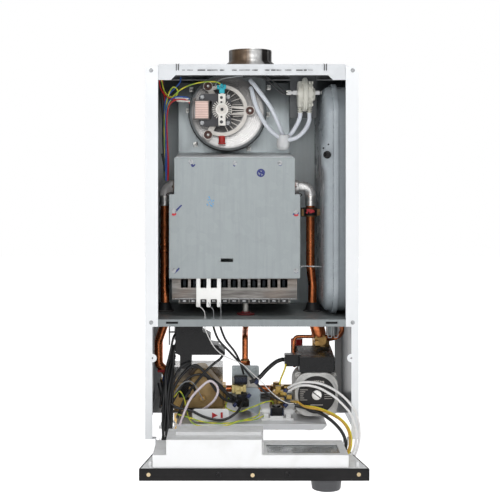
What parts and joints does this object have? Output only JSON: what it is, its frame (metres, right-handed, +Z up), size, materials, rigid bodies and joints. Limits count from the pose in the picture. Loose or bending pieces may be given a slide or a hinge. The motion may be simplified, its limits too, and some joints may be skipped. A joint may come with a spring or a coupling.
{
  "type": "gas boiler",
  "caption": "Wall-hung combination gas boiler with its front cover off, a fan-assisted sealed burner chamber above, a pump and water group below, and a control panel swung down.",
  "frame": {"origin": "middle of the hanging rail's rear face, on the wall, 650 mm above the casing's lower edge", "axes": "+X right as seen from the room, +Y back into the wall, +Z up"},
  "size_m": [0.4, 0.426, 0.8039],
  "materials": {
    "black": "moulded black plastic",
    "board": "grey circuit board",
    "bobbin": "pink taped winding",
    "brass": "cast brass",
    "castAlloy": "rough die-cast alloy",
    "ceramic": "white glazed ceramic",
    "copper": "drawn copper, slightly stained",
    "cream": "cream die-cast alloy",
    "galvanised": "dull galvanised sheet",
    "glassy": "clear plastic pane",
    "goldShell": "brown-gold passivated casting",
    "lacquer": "smooth satin white lacquer",
    "laminate": "blackened steel laminations",
    "nickel": "nickel-plated casting",
    "red": "red moulded plastic",
    "regulator": "pale yellow plastic",
    "silicone": "translucent silicone rubber",
    "steel": "bright stainless sheet",
    "vessel": "pale grey paint",
    "white": "white moulded plastic"
  },
  "bodies": {
    "casing": {"left_side_panel": "lacquer", "right_side_panel": "lacquer", "top_panel": "lacquer", "back_panel": "galvanised", "chamber_floor": "galvanised", "lower_rail": "galvanised", "bottom_plate": "galvanised", "flue_collar": "steel", "smoke_hood": "galvanised", "fan_scroll": "galvanised", "fan_front_plate": "galvanised", "fan_motor_bracket": "cream", "fan_motor_core": "laminate", "fan_coil": "bobbin", "fan_bearing_bridge": "cream", "combustion_cover": "galvanised", "combustion_box": "galvanised", "heat_exchanger": "copper", "burner": "steel", "gas_manifold": "castAlloy", "electrode_block": "ceramic", "left_elbow": "nickel", "right_elbow": "nickel", "left_pipe": "copper", "right_pipe": "copper", "limit_thermostat": "black", "expansion_vessel": "vessel", "vessel_pipe": "copper", "pressure_switch": "white", "pressure_switch_bracket": "galvanised", "sensing_hose_lower": "silicone", "sensing_hose_upper": "silicone", "condensate_capsule": "silicone", "pump_motor": "castAlloy", "pump_terminal_box": "black", "pump_volute": "castAlloy", "return_manifold": "brass", "relief_tube": "copper", "safety_valve": "black", "gas_valve": "castAlloy", "gas_coil": "black", "gas_regulator": "regulator", "gas_pipe": "copper", "left_manifold": "brass", "diverter_dome": "goldShell", "plate_exchanger": "steel", "crossover_pipe": "copper", "cold_inlet_valve": "brass", "ignition_box": "black", "panel_harness": "black", "pump_lead": "black"},
    "panel": {"panel_fascia": "black", "panel_tray": "white", "panel_cover": "white", "panel_window": "glassy", "panel_board": "board"},
    "panel_dial": {"panel_knob": "black"},
    "fan_wheel": {"fan_impeller": "galvanised", "fan_rotor": "laminate"},
    "relief_knob": {"safety_valve_knob": "red"}
  },
  "joints": [
    {"name": "panel_hinge", "type": "hinge", "parent": "casing", "child": "panel", "pos_m": [0, -0.272, -0.656], "axis": [-1, 0, 0], "range_deg": [0, 90], "deforming": ["panel_harness"]},
    {"name": "panel_dial_turn", "type": "hinge", "parent": "panel", "child": "panel_dial", "pos_m": [0.1286, -0.386, -0.6863], "axis": [0, 0, 1], "range_deg": [-140, 140]},
    {"name": "fan_spin", "type": "hinge", "parent": "casing", "child": "fan_wheel", "pos_m": [-0.056, -0.15, -0.029], "axis": [0, 1, 0], "continuous": true},
    {"name": "relief_knob_turn", "type": "hinge", "parent": "casing", "child": "relief_knob", "pos_m": [0.096, -0.104, -0.495], "axis": [0, 0, 1], "range_deg": [0, 90]}
  ]
}
